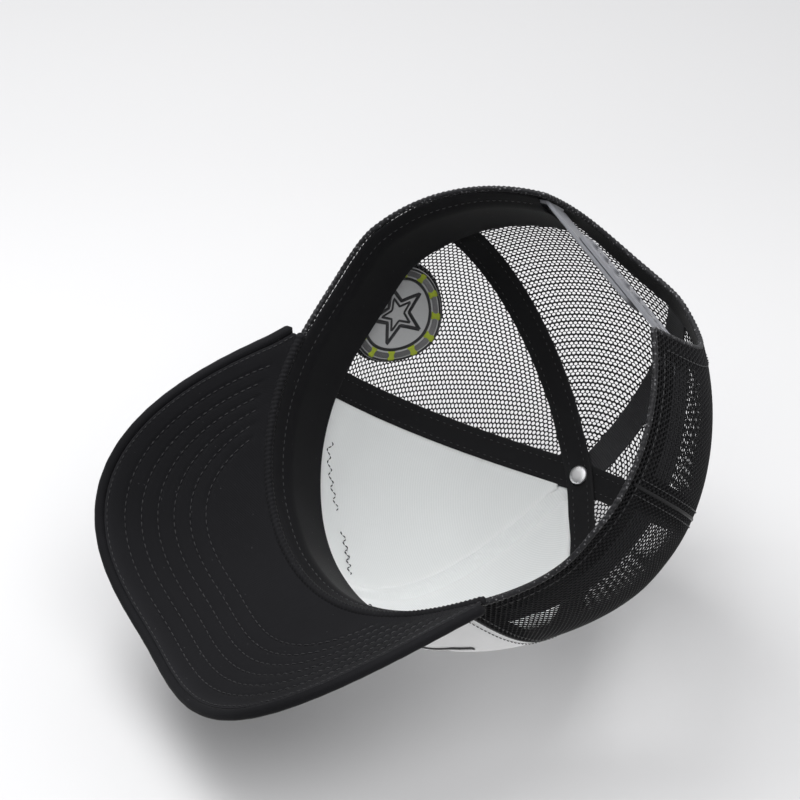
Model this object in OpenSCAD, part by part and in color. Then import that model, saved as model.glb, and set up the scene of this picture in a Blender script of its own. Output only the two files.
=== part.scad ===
// Trucker cap: six-panel crown (two lined front panels, four mesh panels), curved visor,
// sweatband and a two-piece snap strap across the rear opening.
// Millimetres, +Z up, visor towards -Y, the wearer's left towards +X.
// The cap is drawn with its head opening level, then leaned back until it stands on
// the visor's corners and the rear rim, with the middle of its footprint at the origin.

/* [Crown] */
// Half the width of the head opening where the egg shape leaves it unchanged
rim_half_width = 90; // [84:1:96]
// Half the length of the head opening, front to back
rim_half_length = 96; // [90:1:102]
// Height of the crown above the head opening
crown_height = 115; // [105:1:125]
// Share by which the opening is wider behind the ears than at the temples
egg = 0.15; // [0.1:0.01:0.2]
// Squareness of the opening at the front, 2 is an ellipse
front_oval = 2.03; // [2:0.01:2.2]
// Squareness of the opening at the back
back_oval = 1.7; // [1.6:0.01:1.9]
// Squareness of the crown's profile at the front, 2 is an ellipse
front_box = 2.9; // [2.4:0.05:3]
// Squareness of the crown's profile at the back
back_box = 2.1; // [2:0.05:2.3]
// Share by which the crown swells above the rim
swell = 0.1; // [0.06:0.01:0.12]
// Height of the rim at the middle of the back
rear_lift = 3; // [0:0.5:5]

/* [Seams] */
// Bearing of the seam between a front panel and a side panel, from the front
front_seam = 62; // [58:1:66]
// Bearing of the seam between a side panel and a back panel, from the front
back_seam = 115; // [110:1:120]
// Width of the tape over each seam
tape_width = 13; // [10:0.5:14]
// Height of the folded mesh hem
hem_height = 14; // [10:1:18]
// Height of the sweatband
band_height = 34; // [30:1:38]

/* [Cloth] */
// Thickness of the mesh and of the front cloth
cloth = 0.8; // [0.6:0.1:0.9]
// Depth from the crown's surface to the inner face of the foam lining
lining_depth = 3.2; // [2.8:0.1:3.2]
// Depth to the inner face of the seam tapes
tape_depth = 1.6; // [1.4:0.1:1.6]
// Gap left between one layer and the next
layer_gap = 0.45; // [0.4:0.05:0.5]

/* [Rear opening] */
// Half the width of the rear opening, as a bearing from the back
arch_half = 25; // [22:1:27]
// Height of the rear opening above the rim
arch_height = 60; // [52:1:64]
// Squareness of the rear opening, 2 is an ellipse
arch_box = 2.6; // [2.4:0.1:2.8]
// Width of the tape round the rear opening
binding_width = 9; // [7:0.5:10]

/* [Visor] */
// How far the visor stands out in front of the crown, measured level
visor_reach = 60; // [54:1:66]
// Half the width of the visor
visor_half_width = 84; // [82:1:88]
// Distance from the crown's middle to the visor's widest place
visor_shoulder = 43; // [41:1:45]
// Squareness of the visor's outline, 2 is an ellipse
visor_square = 2.8; // [2.5:0.1:3]
// Radius to which the visor is bent
visor_bend = 76; // [70:1:90]
// Slope of the visor along its middle
visor_pitch = 0.58; // [0.5:0.01:0.65]
// Height of the middle of the visor's root above the head opening
visor_lift = 9; // [6:0.5:12]
// Bearing at which the visor's root ends
visor_end = 69; // [66:1:70]
// Radius of the rolled edge
edge_radius = 2.3; // [2:0.1:2.4]
// Rows of stitching
stitch_rows = 6; // [4:1:7]
// Distance between rows of stitching
stitch_pitch = 5.5; // [5:0.1:6]

/* [Snap strap] */
// Width of the strap
strap_width = 14; // [12:0.5:15]
// Thickness of the strap
strap_thick = 1.3; // [1.2:0.1:1.4]
// Height of the strap's lower edge above the rim
strap_height = 3; // [2:0.5:5]
// Distance between snaps
snap_pitch = 8; // [8:0.5:9]
// Number of pegs, all of them closed
pegs = 5; // [3:1:5]
// Number of holes
holes = 7; // [6:1:7]
// Radius of a peg
peg_radius = 1.9; // [1.7:0.1:2]
// Clearance round a peg
peg_clearance = 0.4; // [0.35:0.05:0.5]

/* [Button and trims] */
// Radius of the cloth-covered button
button_radius = 7.5; // [7:0.5:9]
// Radius of the rivet's head inside the crown
rivet_radius = 4.2; // [3.8:0.1:4.6]
// Radius of the rivet's shank
shank_radius = 1.5; // [1.3:0.1:1.6]
// Radius of the round side patch
patch_radius = 24; // [20:1:25]
// Bearing of the patch's middle
patch_bearing = 85; // [84:1:88]
// Height of the patch's middle above the rim
patch_height = 47; // [44:1:50]

/* [Rest] */
// Angle by which the cap leans back as it stands
rest_tilt = 11.8; // [11.5:0.1:12.1]

/* [Hidden] */
$fn = 48;

black = "#1b1b1d";
mesh_black = "#2a2a2d";
white = "#f1f1ee";
clear_grey = "#b9bcc2";
silver = "#c8cace";

seam_gap = 0.15;       // half the gap along a seam, in degrees
top_end = 0.985;       // where the panels stop, just short of the button's shank
band_outer = 3.6;      // depth of the sweatband's layers behind the crown's surface
band_middle = 4.6;
band_inner = 6;
tape_sag = 0.25;       // how far a tape's edges follow the crown's curve
tape_over = 1.9;       // depth at which one tape starts to pass over the other
rim_clear = 2.5;       // gap between the crown and the visor
board_half = 1;        // half the thickness of the visor board
cover_in = 1.2;
cover_out = 2;
visor_split = 0.92;    // share of the visor's outline that is front and corners
cover_inset = 2 * edge_radius + 0.3;
tape_half = tape_width / 2;

function mix(a, b, k) = a + (b - a) * k;
function ease(k) = let (c = min(1, max(0, k))) c * c * (3 - 2 * c);
function unit(v) = v / norm(v);
function sign_pow(x, p) = sign(x) * pow(abs(x), p);

// Plan of the head opening at a bearing: 0 is the front, 90 the wearer's left.
function opening(f, grow = 0) =
    let (n = mix(front_oval, back_oval, ease((1 - cos(f)) / 2)),
        r = pow(pow(abs(sin(f)), n) + pow(abs(cos(f)), n), -1 / n))
    [(rim_half_width + grow) * sin(f) * r * (1 - egg * cos(f)),
        -(rim_half_length + grow) * cos(f) * r];

// Height of the visor's middle surface over a point in plan.
function visor_z(p) =
    visor_lift - p.x * p.x / (2 * visor_bend) + visor_pitch * (p.y + rim_half_length);

// Height of the rim: it follows the visor's root in front and is nearly level behind.
function rim_z(f) =
    let (w = ease((visor_end + 32 - abs(f)) / 30))
    mix(rear_lift * pow((1 - cos(f)) / 2, 2), visor_z(opening(f)), w);

function box_at(f) = mix(back_box, front_box, pow((1 + cos(f)) / 2, 2));

// The crown's surface: s runs from 0 at the rim to 1 at the button.
function crown(f, s) =
    let (n = box_at(f),
        r = pow(max(cos(90 * s), 0.000001), 2 / n) * (1 + swell * sin(180 * s)),
        z = pow(max(sin(90 * s), 0), 2 / n),
        o = opening(f))
    [o.x * r, o.y * r, mix(rim_z(f), crown_height, z)];

// The place on the crown that is h above the rim.
function s_at(f, h) = asin(pow(h / (crown_height - rim_z(f)), box_at(f) / 2)) / 90;

function crown_normal(f, s) =
    let (c = min(0.97, max(0.01, s)))
    unit(cross(crown(f + 0.5, c) - crown(f - 0.5, c), crown(f, c + 0.01) - crown(f, c - 0.01)));

// Distance along the crown's surface for each degree of bearing.
function turn_at(f, s) = norm(crown(f + 0.5, s) - crown(f - 0.5, s));

function skin(f, s, out) = crown(f, s) + out * crown_normal(f, s);

// Lower edge of the back panels: the rear opening's arch.
function arch_s(f) =
    let (d = abs(180 - f) / arch_half)
    d >= 1 ? 0 : s_at(180, arch_height) * pow(1 - pow(d, arch_box), 1 / arch_box);

// A point on the arch at turn a (0 to 180), g outside its edge.
function arch_place(a, g) =
    [180 - (arch_half + g / 1.6) * sign_pow(cos(a), 2 / arch_box),
        s_at(180, arch_height + g) * pow(max(sin(a), 0), 2 / arch_box)];

// The visor's outline and root, with t from -1 to 1 across the front.
function visor_outline(t) =
    let (a = min(1, abs(t) / visor_split) * 90,
        r = pow(pow(sin(a), visor_square) + pow(cos(a), visor_square), -1 / visor_square),
        front = [visor_half_width * sin(a) * r,
            -visor_shoulder - (rim_half_length + visor_reach - visor_shoulder) * cos(a) * r],
        end = opening(visor_end, 6),
        k = max(0, abs(t) - visor_split) / (1 - visor_split),
        p = k > 0 ? [end.x + (visor_half_width - end.x) * cos(90 * k),
            mix(-visor_shoulder, end.y, sin(90 * k))] : front)
    [sign(t) * p.x, p.y];
function visor_root(t) = opening(visor_end * t, rim_clear);
function visor_inset(t, d) =
    let (p = visor_outline(t), q = visor_root(t)) p + unit(q - p) * d;
function visor_depth(t) = norm(visor_outline(t) - visor_root(t));

// Share of the visor's root that its flat layers reach before the edge meets the crown.
cover_span = max([for (t = [0:0.01:1]) if (visor_depth(t) > cover_inset + 0.5) t]);
function on_visor(p, out) =
    [p.x, p.y, visor_z(p)] + out * unit([p.x / visor_bend, -visor_pitch, 1]);

// A closed shell between two grids of points with the same rows and columns.
module sheet(outer, inner) {
    rows = len(outer);
    cols = len(outer[0]);
    half = rows * cols;
    function at(i, j) = i * cols + j;
    rim = concat([for (j = [0:cols - 2]) at(0, j)], [for (i = [0:rows - 2]) at(i, cols - 1)],
        [for (j = [cols - 1:-1:1]) at(rows - 1, j)], [for (i = [rows - 1:-1:1]) at(i, 0)]);
    edge = len(rim);
    polyhedron(
        points = concat([for (r = outer) each r], [for (r = inner) each r]),
        faces = concat(
            [for (i = [0:rows - 2], j = [0:cols - 2]) each [
                [at(i, j), at(i + 1, j), at(i + 1, j + 1)], [at(i, j), at(i + 1, j + 1), at(i, j + 1)],
                [half + at(i, j), half + at(i + 1, j + 1), half + at(i + 1, j)],
                [half + at(i, j), half + at(i, j + 1), half + at(i + 1, j + 1)]]],
            [for (k = [0:edge - 1]) let (a = rim[k], b = rim[(k + 1) % edge]) each [
                [a, b, half + b], [a, half + b, half + a]]]),
        convexity = 6);
}

// A shell on the crown: places is a grid of [bearing, s], from depth inner to outer.
module crown_sheet(places, inner, outer)
    sheet([for (row = places) [for (p = row) skin(p.x, p.y, outer)]],
        [for (row = places) [for (p = row) skin(p.x, p.y, inner)]]);

// A flexible strip along a line of [bearing, s], its depths given place by place.
module crown_strip(line, half_width, inner, outer) {
    last = len(line) - 1;
    path = [for (p = line) crown(p.x, p.y)];
    up = [for (p = line) p.y > 0.995 ? [0, 0, 1] : crown_normal(p.x, p.y)];
    side = [for (k = [0:last])
        unit(cross(up[k], path[min(last, k + 1)] - path[max(0, k - 1)]))];
    function face(depth) = [for (k = [0:last]) [for (w = [1, 0, -1])
        path[k] + w * half_width * side[k] - (depth[k] + abs(w) * tape_sag) * up[k]]];
    sheet(face(outer), face(inner));
}

// A round cord along a line of points.
module cord(path, radius, sides) {
    last = len(path) - 1;
    points = [for (k = [0:last])
        let (t = unit(path[min(last, k + 1)] - path[max(0, k - 1)]),
            u = unit(cross(t, [0, 0, 1])), v = cross(u, t))
        for (a = [0:sides - 1])
            path[k] + radius * (cos(360 * a / sides) * u + sin(360 * a / sides) * v)];
    polyhedron(points = points, convexity = 6, faces = concat(
        [[for (a = [0:sides - 1]) a]],
        [[for (a = [sides - 1:-1:0]) last * sides + a]],
        [for (k = [0:last - 1], a = [0:sides - 1])
            [k * sides + a, (k + 1) * sides + a, (k + 1) * sides + (a + 1) % sides,
                k * sides + (a + 1) % sides]]));
}

// A band across the front of the visor.
module visor_layer(inner, outer) {
    grid = [for (v = [0:1 / 8:1]) [for (t = [-cover_span:cover_span / 16:cover_span + 0.001])
        mix(visor_root(t), visor_inset(t, cover_inset), v)]];
    sheet([for (row = grid) [for (p = row) on_visor(p, inner)]],
        [for (row = grid) [for (p = row) on_visor(p, outer)]]);
}

// Leaning back by rest_tilt, the height and the depth of a point of the cap.
function leant(p) = [p.x, p.y * cos(rest_tilt) + p.z * sin(rest_tilt),
    -p.y * sin(rest_tilt) + p.z * cos(rest_tilt)];
edge_line = [for (t = [-1:1 / 20:1.001]) leant(on_visor(visor_inset(t, edge_radius), 0))];
back_line = [for (f = [140:1:180], s = [0:0.02:0.8]) if (s >= arch_s(f)) leant(skin(f, s, cloth))];
low_z = min(min([for (p = edge_line) p.z]) - edge_radius, min([for (p = back_line) p.z]));
mid_y = (min([for (p = edge_line) p.y]) - edge_radius + max([for (p = back_line) p.y])) / 2;

module placed() translate([0, -mid_y, -low_z]) rotate([-rest_tilt, 0, 0]) children();

// ---- crown panels -------------------------------------------------------------------------

module crown_panel(bearings, rows)
    crown_sheet([for (v = [0:1 / rows:1]) [for (f = bearings)
        [f, mix(arch_s(abs(f)), top_end, v)]]], 0, cloth);

module front_panel_left() color(white) placed()
    crown_panel([for (k = [0:10]) mix(seam_gap, front_seam - seam_gap, k / 10)], 16);

module front_panel_right() color(white) placed()
    crown_panel([for (k = [0:10]) mix(seam_gap - front_seam, -seam_gap, k / 10)], 16);

module side_mesh_left() color(mesh_black) placed()
    crown_panel([for (k = [0:10]) mix(front_seam + seam_gap, back_seam - seam_gap, k / 10)], 16);

module side_mesh_right() color(mesh_black) placed()
    crown_panel([for (k = [0:10]) mix(seam_gap - back_seam, -front_seam - seam_gap, k / 10)], 16);

// Columns of a back panel, closer together along the arch's steep leg.
back_columns = concat(
    [for (k = [0:4]) mix(back_seam + seam_gap, 180 - arch_half - 1, k / 4)],
    [for (a = [0:11.25:78.75]) 180 - arch_half * pow(cos(a), 2 / arch_box)],
    [180 - seam_gap]);

module back_mesh_left() color(mesh_black) placed() crown_panel(back_columns, 14);

module back_mesh_right() color(mesh_black) placed()
    crown_panel([for (k = [len(back_columns) - 1:-1:0]) -back_columns[k]], 14);

// The lining of a front panel stops short of the ridge and of the seam tape.
ridge_half = 3.3;
lining_top = 0.9;
module front_lining(side) {
    function edge(f, clear, s) = (clear + 2 * layer_gap) / turn_at(f, s);
    places = [for (v = [0:1 / 14:1]) let (s = lining_top * v) [for (k = [0:8])
        [side * mix(edge(0, ridge_half, s), front_seam - edge(front_seam, tape_half, s),
            side > 0 ? k / 8 : 1 - k / 8), s]]];
    crown_sheet(places, -lining_depth, -layer_gap);
}

module front_lining_left() color(white) placed() front_lining(1);

module front_lining_right() color(white) placed() front_lining(-1);

module center_seam_ridge() color(white) placed() {
    steps = 14;
    line = [for (k = [0:steps]) [0, mix(s_at(0, band_height + 2), 0.95, k / steps)]];
    crown_strip(line, ridge_half, [for (p = line) lining_depth + 1.4], [for (p = line) layer_gap]);
}

// ---- seam tapes, hems and the rear opening's binding ----------------------------------------

// A tape that runs up one seam, over the top and down the seam opposite.
function tape_line(f0, f1, steps) = concat(
    [for (k = [0:steps]) [f0, mix(s_at(f0, hem_height + 1), 0.985, k / steps)]], [[f0, 1]],
    [for (k = [steps:-1:0]) [f1, mix(s_at(f1, hem_height + 1), 0.985, k / steps)]]);

module crossing_tape(f0, f1, over) difference() {
    line = tape_line(f0, f1, 16);
    lift = [for (p = line) over * ease((p.y - 0.78) / 0.12)];
    crown_strip(line, tape_half, [for (k = lift) tape_depth + k], [for (k = lift) layer_gap + k]);
    translate([0, 0, crown_height - 8]) cylinder(r = shank_radius + 0.3, h = 12);
}

module seam_tape_left_front() color(black) placed()
    crossing_tape(front_seam, -back_seam, 0);

module seam_tape_right_front() color(black) placed()
    crossing_tape(back_seam, -front_seam, tape_over - layer_gap);

module seam_tape_back() color(black) placed() {
    line = [for (k = [0:12])
        [180, mix(s_at(180, arch_height + binding_width + 0.5), 0.925, k / 12)]];
    crown_strip(line, tape_half, [for (p = line) tape_depth], [for (p = line) layer_gap]);
}

module rim_hem(side) {
    steps = 14;
    last = 180 - arch_half - binding_width / 1.6 - 0.6;
    crown_sheet([for (h = [0, hem_height / 2, hem_height]) [for (k = [0:steps])
        let (f = side * mix(front_seam + seam_gap, last, side > 0 ? k / steps : 1 - k / steps))
        [f, s_at(f, h)]]], -tape_depth, -layer_gap);
}

module rim_hem_left() color(mesh_black) placed() rim_hem(1);

module rim_hem_right() color(mesh_black) placed() rim_hem(-1);

module opening_binding() color(black) placed()
    crown_sheet([for (a = [0:7.5:180]) [for (g = [0.3, binding_width / 2, binding_width])
        arch_place(a, g)]], -tape_depth, -layer_gap);

// ---- sweatband ------------------------------------------------------------------------------

module band_layer(inner, outer) {
    span = 178 - arch_half;
    crown_sheet([for (h = [1, band_height / 2, band_height])
        [for (k = [-24:24]) let (f = span * k / 24) [f, s_at(f, h)]]], -inner, -outer);
}

module sweatband() color(black) placed() band_layer(band_inner, band_middle + layer_gap);

module sweatband_interlining() color("#3a3a3c") placed() band_layer(band_middle, band_outer);

// ---- visor ----------------------------------------------------------------------------------

module visor_board() color("#4a4a4e") placed() visor_layer(-board_half, board_half);

module visor_top_cover() color(black) placed() visor_layer(cover_in, cover_out);

module visor_under_cover() color(black) placed() visor_layer(-cover_out, -cover_in);

module visor_edge() color(black) placed()
    cord([for (t = [-1:1 / 20:1.001]) on_visor(visor_inset(t, edge_radius), 0)], edge_radius, 8);

module visor_stitching() color(mesh_black) placed()
    for (row = [1:stitch_rows]) {
        d = cover_inset + row * stitch_pitch;
        reach = [for (t = [0:1 / 48:cover_span]) if (visor_depth(t) > d + 2) t];
        span = max(reach);
        cord([for (k = [-12:12]) on_visor(visor_inset(span * k / 12, d), -cover_out - 0.45)],
            0.35, 4);
    }

module visor_seam_bead() color(black) placed()
    cord([for (k = [-18:18]) let (f = 66 * k / 18, p = opening(f)) [p.x, p.y, rim_z(f) - 2.3]],
        1.6, 6);

// ---- button ---------------------------------------------------------------------------------

button_base = crown_height + cloth + 0.4;
button_wall = 1.6;     // straight height of the button's side
button_rise = 2.6;     // height of the dome above it
shell_height = 1.2;
rivet_top = crown_height - tape_depth - tape_over + layer_gap - tape_sag - 0.2;

// A low dome standing on a level face.
module dome(radius, rise) intersection() {
    ball = (radius * radius + rise * rise) / (2 * rise);
    translate([0, 0, rise - ball]) sphere(r = ball, $fn = 96);
    cylinder(r = radius + 1, h = rise + 1);
}

module button_cover() color(black) placed() translate([0, 0, button_base]) difference() {
    union() {
        cylinder(r = button_radius, h = button_wall);
        translate([0, 0, button_wall]) dome(button_radius, button_rise);
    }
    translate([0, 0, -1]) cylinder(r = button_radius - 1.2, h = 1 + shell_height + 0.2);
}

module button_shell() color(silver) placed() translate([0, 0, button_base]) difference() {
    cylinder(r = button_radius - 1.4, h = shell_height);
    translate([0, 0, -1]) cylinder(r = shank_radius + 0.1, h = shell_height + 2);
}

module button_rivet() color(silver) placed() union() {
    translate([0, 0, rivet_top]) mirror([0, 0, 1]) dome(rivet_radius, 1.8);
    translate([0, 0, rivet_top - 0.5])
        cylinder(r = shank_radius, h = button_base + shell_height - rivet_top);
}

// ---- snap strap -----------------------------------------------------------------------------

tab_outer = 2;
hinge_depth = tab_outer + strap_thick / 2;
hinge_bearing = 180 - arch_half + 0.5;
strap_mid = strap_height + strap_width / 2;
hinge_place = skin(hinge_bearing, s_at(hinge_bearing, strap_mid), -hinge_depth);
hinge_x = hinge_place.x;
strap_low = hinge_place.z - strap_width / 2;
strap_step = strap_thick / 2 + 0.2;   // each half's distance from the strap's middle plane
first_snap = pegs * snap_pitch / 2 - 6;
peg_x = [for (k = [0:pegs - 1]) first_snap - k * snap_pitch];
hole_x = [for (k = [0:holes - 1]) first_snap - k * snap_pitch];

module strap_tab(side) {
    last = 180 - arch_half - 0.3;
    crown_sheet([for (h = [0:strap_width / 4:strap_width]) [for (k = [0:4])
        let (f = side * mix(last - 8, last, side > 0 ? k / 4 : 1 - k / 4))
        [f, s_at(f, h + strap_height)]]], -tab_outer - strap_thick, -tab_outer);
}

module strap_tab_left() color(clear_grey) placed() strap_tab(1);

module strap_tab_right() color(clear_grey) placed() strap_tab(-1);

// One half of the strap, from its hinge at +X to a round end, flat on the plane y = 0.
module strap_half(length) {
    end = strap_width / 2;
    translate([0, strap_thick / 2, 0]) rotate([90, 0, 0]) linear_extrude(strap_thick) {
        translate([-length + end, -end]) square([length - end, strap_width]);
        translate([-length + end, 0]) circle(r = end);
    }
    translate([0, 0, -end]) cylinder(r = strap_thick / 2, h = strap_width);
}

module snap_strap_pegs() color(clear_grey) placed()
    translate([0, hinge_place.y - strap_step, hinge_place.z]) {
        translate([hinge_x, 0, 0]) strap_half(hinge_x - peg_x[pegs - 1] + 5);
        for (x = peg_x) translate([x, strap_thick / 2 - 0.2, 0]) rotate([-90, 0, 0])
            cylinder(r = peg_radius, h = strap_thick + 1.8);
    }

module snap_strap_holes() color(clear_grey) placed()
    translate([0, hinge_place.y + strap_step, hinge_place.z]) difference() {
        mirror([1, 0, 0]) translate([hinge_x, 0, 0]) strap_half(hinge_x + hole_x[0] + 6);
        for (x = hole_x) translate([x, -strap_thick, 0]) rotate([-90, 0, 0])
            cylinder(r = peg_radius + peg_clearance, h = 2 * strap_thick);
    }

// ---- patch and embroidery -------------------------------------------------------------------

patch_turn = turn_at(patch_bearing, s_at(patch_bearing, patch_height));

module patch_disc(radius, inner, outer)
    crown_sheet([for (v = [-1:0.2:1.001]) [for (u = [-1:0.2:1.001])
        let (f = patch_bearing + radius * u * sqrt(1 - v * v / 2) / patch_turn)
        [f, s_at(f, patch_height + radius * v * sqrt(1 - u * u / 2))]]], inner, outer);

module side_patch() color("#6b6d70") placed() patch_disc(patch_radius, cloth + 0.5, cloth + 1.9);

module patch_backing() color("#77797c") placed()
    patch_disc(patch_radius - 1, -layer_gap - 0.8, -layer_gap);

// A stitched line of hills across the front panels.
hill_low = 40;
hill_high = 14;
function hills(f) = hill_low + hill_high * abs(sin(f * 4)) * (1 - abs(f) / 90);
module front_embroidery() color(black) placed()
    crown_sheet([for (w = [0, 3]) [for (f = [-50:2.5:50]) [f, s_at(f, hills(f) + w)]]],
        cloth + 0.5, cloth + 1.1);

front_panel_left();
front_panel_right();
front_lining_left();
front_lining_right();
center_seam_ridge();
side_mesh_left();
side_mesh_right();
back_mesh_left();
back_mesh_right();
seam_tape_left_front();
seam_tape_right_front();
seam_tape_back();
rim_hem_left();
rim_hem_right();
opening_binding();
sweatband();
sweatband_interlining();
visor_board();
visor_top_cover();
visor_under_cover();
visor_edge();
visor_stitching();
visor_seam_bead();
button_cover();
button_shell();
button_rivet();
strap_tab_left();
strap_tab_right();
snap_strap_pegs();
snap_strap_holes();
side_patch();
patch_backing();
front_embroidery();
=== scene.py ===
"""Looks of a trucker cap, built on its CAD frame. Lengths are millimetres in the cap's own
level frame until place() leans them back and turns them into metres in the row frame."""

import math

import bmesh
import bpy
import numpy as np
from mathutils import Matrix, Vector


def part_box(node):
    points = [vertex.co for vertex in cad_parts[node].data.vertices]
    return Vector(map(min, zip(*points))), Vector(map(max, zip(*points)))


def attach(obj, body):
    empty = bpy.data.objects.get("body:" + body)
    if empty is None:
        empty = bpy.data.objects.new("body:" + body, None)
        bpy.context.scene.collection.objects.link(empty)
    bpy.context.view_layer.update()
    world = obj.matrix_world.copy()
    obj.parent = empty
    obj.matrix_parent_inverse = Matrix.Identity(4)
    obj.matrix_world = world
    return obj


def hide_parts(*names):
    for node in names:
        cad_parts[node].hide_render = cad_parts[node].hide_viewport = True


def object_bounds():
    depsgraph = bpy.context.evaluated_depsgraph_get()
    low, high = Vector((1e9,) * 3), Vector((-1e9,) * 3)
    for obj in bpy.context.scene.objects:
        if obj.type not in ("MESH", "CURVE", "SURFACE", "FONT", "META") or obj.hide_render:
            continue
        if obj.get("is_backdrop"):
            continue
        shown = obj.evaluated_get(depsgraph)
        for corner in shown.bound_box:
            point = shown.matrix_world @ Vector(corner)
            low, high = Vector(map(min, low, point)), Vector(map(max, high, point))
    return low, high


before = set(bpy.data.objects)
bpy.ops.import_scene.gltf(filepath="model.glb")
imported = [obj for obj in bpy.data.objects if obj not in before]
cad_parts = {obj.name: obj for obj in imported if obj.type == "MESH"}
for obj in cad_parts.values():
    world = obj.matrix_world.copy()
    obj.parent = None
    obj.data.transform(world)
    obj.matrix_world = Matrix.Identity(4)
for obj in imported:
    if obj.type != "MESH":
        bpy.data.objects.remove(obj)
cad_low, cad_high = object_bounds()

# ---- driving sizes, the same as the part's ------------------------------------------------
RIM_HALF_WIDTH, RIM_HALF_LENGTH, CROWN_HEIGHT = 90, 96, 115
EGG, FRONT_OVAL, BACK_OVAL = 0.15, 2.03, 1.7
FRONT_BOX, BACK_BOX, SWELL, REAR_LIFT = 2.9, 2.1, 0.1, 3
FRONT_SEAM, BACK_SEAM = 62, 115
TAPE_HALF, HEM_HEIGHT, BAND_HEIGHT = 6.5, 14, 34
CLOTH, LINING_DEPTH, TAPE_DEPTH, LAYER_GAP = 0.8, 3.2, 1.6, 0.45
ARCH_HALF, ARCH_HEIGHT, ARCH_BOX, BINDING_WIDTH = 25, 60, 2.6, 9
VISOR_REACH, VISOR_HALF_WIDTH, VISOR_SHOULDER, VISOR_SQUARE = 60, 84, 43, 2.8
VISOR_BEND, VISOR_PITCH, VISOR_LIFT, VISOR_END = 76, 0.58, 9, 69
VISOR_SPLIT, EDGE_RADIUS, RIM_CLEAR = 0.92, 2.3, 2.5
STITCH_ROWS, STITCH_PITCH, COVER_OUT = 6, 5.5, 2
COVER_INSET = 2 * EDGE_RADIUS + 0.3
STRAP_WIDTH, STRAP_THICK, STRAP_HEIGHT = 14, 1.3, 3
SNAP_PITCH, PEGS, HOLES, PEG_RADIUS = 8, 5, 7, 1.9
BUTTON_RADIUS, RIVET_RADIUS, SHANK_RADIUS = 7.5, 4.2, 1.5
PATCH_RADIUS, PATCH_BEARING, PATCH_HEIGHT = 24, 85, 47
RIDGE_HALF, RIDGE_DEPTH, LINING_LOW, LINING_END = 3.3, 4.6, 5.5, 0.965
BAND_INNER, BAND_OUTER = 6, 5.05
TAPE_SAG, TAPE_OVER, RIDGE_WIDE = 0.25, 1.45, 4.8
TOP_END, FRONT_CLOTH_LOW = 0.985, 0.002
REST_TILT = math.radians(11.8)
SIDES = ((1, "left"), (-1, "right"))
SEAM_END = 0.965     # where the folds of the seams stop, short of the button
SEAM_GAP = 0.15      # degrees between a mesh panel and the middle of its seam
MESH_PITCH, MESH_ROW = 2.4, 1.55
STRAND = 0.33        # half the width of a strand of the mesh
STRAND_RISE = 0.3    # half its thickness


# ---- the cap's surfaces -------------------------------------------------------------------
def mix(a, b, k):
    """From a, where k is 0, to b, where it is 1."""
    return a + (b - a) * k


def ease(k):
    """A smooth step from 0 to 1."""
    c = np.clip(k, 0, 1)
    return c * c * (3 - 2 * c)


def unit(v):
    return v / np.maximum(np.linalg.norm(v, axis=-1, keepdims=True), 1e-12)


def sind(a):
    return np.sin(np.radians(a))


def cosd(a):
    return np.cos(np.radians(a))


def sign_pow(x, p):
    return np.sign(x) * np.abs(x) ** p


def opening(f, grow=0.0):
    """Plan of the head opening at bearing f: 0 is the front, 90 the wearer's left."""
    n = mix(FRONT_OVAL, BACK_OVAL, ease((1 - cosd(f)) / 2))
    r = (np.abs(sind(f)) ** n + np.abs(cosd(f)) ** n) ** (-1 / n)
    x = (RIM_HALF_WIDTH + grow) * sind(f) * r * (1 - EGG * cosd(f))
    return x, -(RIM_HALF_LENGTH + grow) * cosd(f) * r


def visor_z(x, y):
    return VISOR_LIFT - x * x / (2 * VISOR_BEND) + VISOR_PITCH * (y + RIM_HALF_LENGTH)


def rim_z(f):
    level = REAR_LIFT * ((1 - cosd(f)) / 2) ** 2
    return mix(level, visor_z(*opening(f)), ease((VISOR_END + 32 - np.abs(f)) / 30))


def box_at(f):
    return mix(BACK_BOX, FRONT_BOX, ((1 + cosd(f)) / 2) ** 2)


def crown(f, s):
    """The crown's surface: s runs from 0 at the rim to 1 at the button."""
    f, s = np.broadcast_arrays(np.asarray(f, float), np.asarray(s, float))
    n = box_at(f)
    r = np.maximum(cosd(90 * s), 1e-6) ** (2 / n) * (1 + SWELL * sind(180 * s))
    z = np.maximum(sind(90 * s), 0) ** (2 / n)
    x, y = opening(f)
    low = rim_z(f)
    return np.stack([x * r, y * r, low + (CROWN_HEIGHT - low) * z], -1)


def s_at(f, h):
    """The place on the crown that is h above the rim."""
    share = np.clip(np.asarray(h, float) / (CROWN_HEIGHT - rim_z(f)), 0, 1)
    return np.degrees(np.arcsin(share ** (box_at(f) / 2))) / 90


def crown_normal(f, s):
    f, s = np.broadcast_arrays(np.asarray(f, float), np.asarray(s, float))
    c = np.clip(s, 0.01, 0.97)
    across = crown(f + 0.5, c) - crown(f - 0.5, c)
    return unit(np.cross(across, crown(f, c + 0.01) - crown(f, c - 0.01)))


def skin(f, s, out):
    return crown(f, s) + np.asarray(out, float)[..., None] * crown_normal(f, s)


def crown_line(f, s, out=0.0, face=1):
    """A line out from the crown's surface and its up directions, which face -1 turns inwards."""
    return skin(f, s, out), face * crown_normal(f, s)


def turn_at(f, s):
    """Distance along the crown for each degree of bearing."""
    return np.linalg.norm(crown(f + 0.5, s) - crown(f - 0.5, s), axis=-1)


def arch_place(a, g):
    """A point on the rear arch at turn a (0 to 180), g outside its edge, as (f, s)."""
    f = 180 - (ARCH_HALF + g / 1.6) * sign_pow(cosd(a), 2 / ARCH_BOX)
    top = s_at(np.full(np.shape(f), 180.0), ARCH_HEIGHT + g)
    return f, top * np.maximum(sind(a), 0) ** (2 / ARCH_BOX)


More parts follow.
